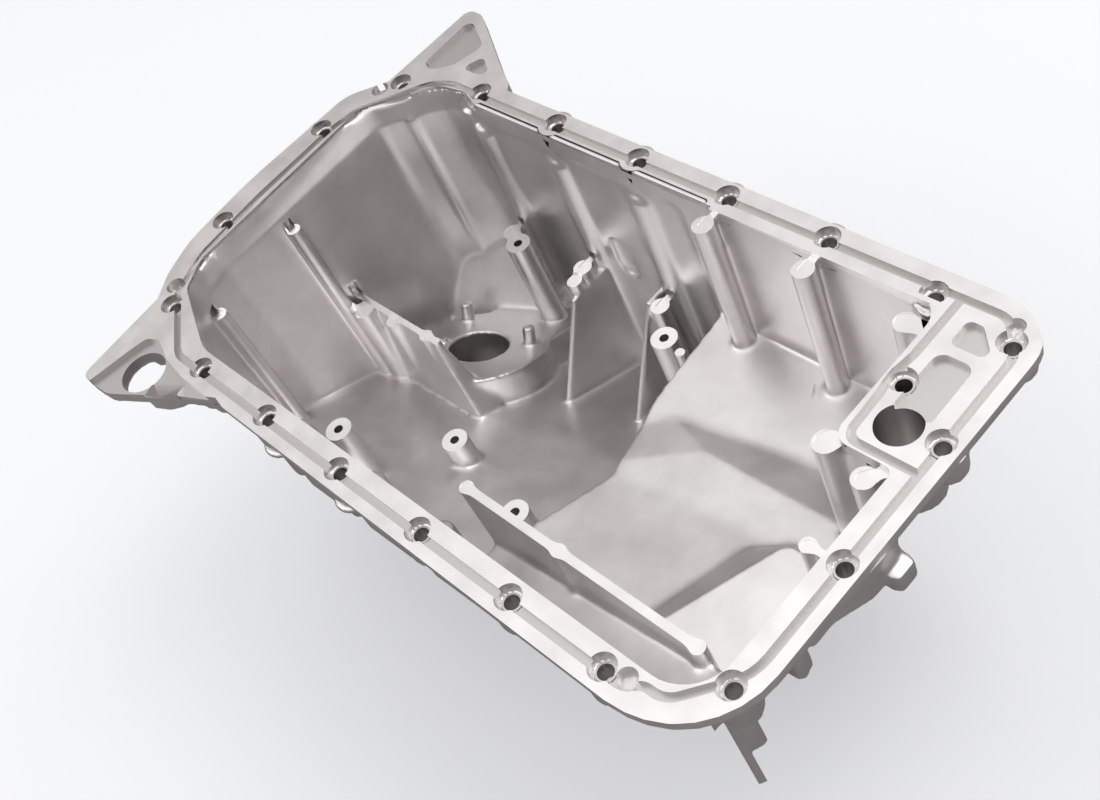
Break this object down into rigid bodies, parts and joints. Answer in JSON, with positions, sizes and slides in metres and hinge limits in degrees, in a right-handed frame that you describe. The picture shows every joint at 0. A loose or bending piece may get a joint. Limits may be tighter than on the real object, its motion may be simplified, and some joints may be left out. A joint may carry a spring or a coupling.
{
  "type": "engine oil pan",
  "caption": "Deep cast oil pan with a grooved bolt flange, a shallow tray beside a sloping sump, a side channel, a sensor seat and gearbox wings.",
  "frame": {"origin": "middle of the gasket flange, in the plane of its machined top face", "axes": "+Z out of the gasket face towards the engine, X along the engine from the gearbox wings to the timing end, +Y to the side where the sump is deepest"},
  "size_m": [0.4349, 0.2989, 0.1987],
  "materials": {
    "cast_aluminium": "satin"
  },
  "bodies": {
    "root": {"oil_pan": "cast_aluminium"}
  },
  "joints": []
}
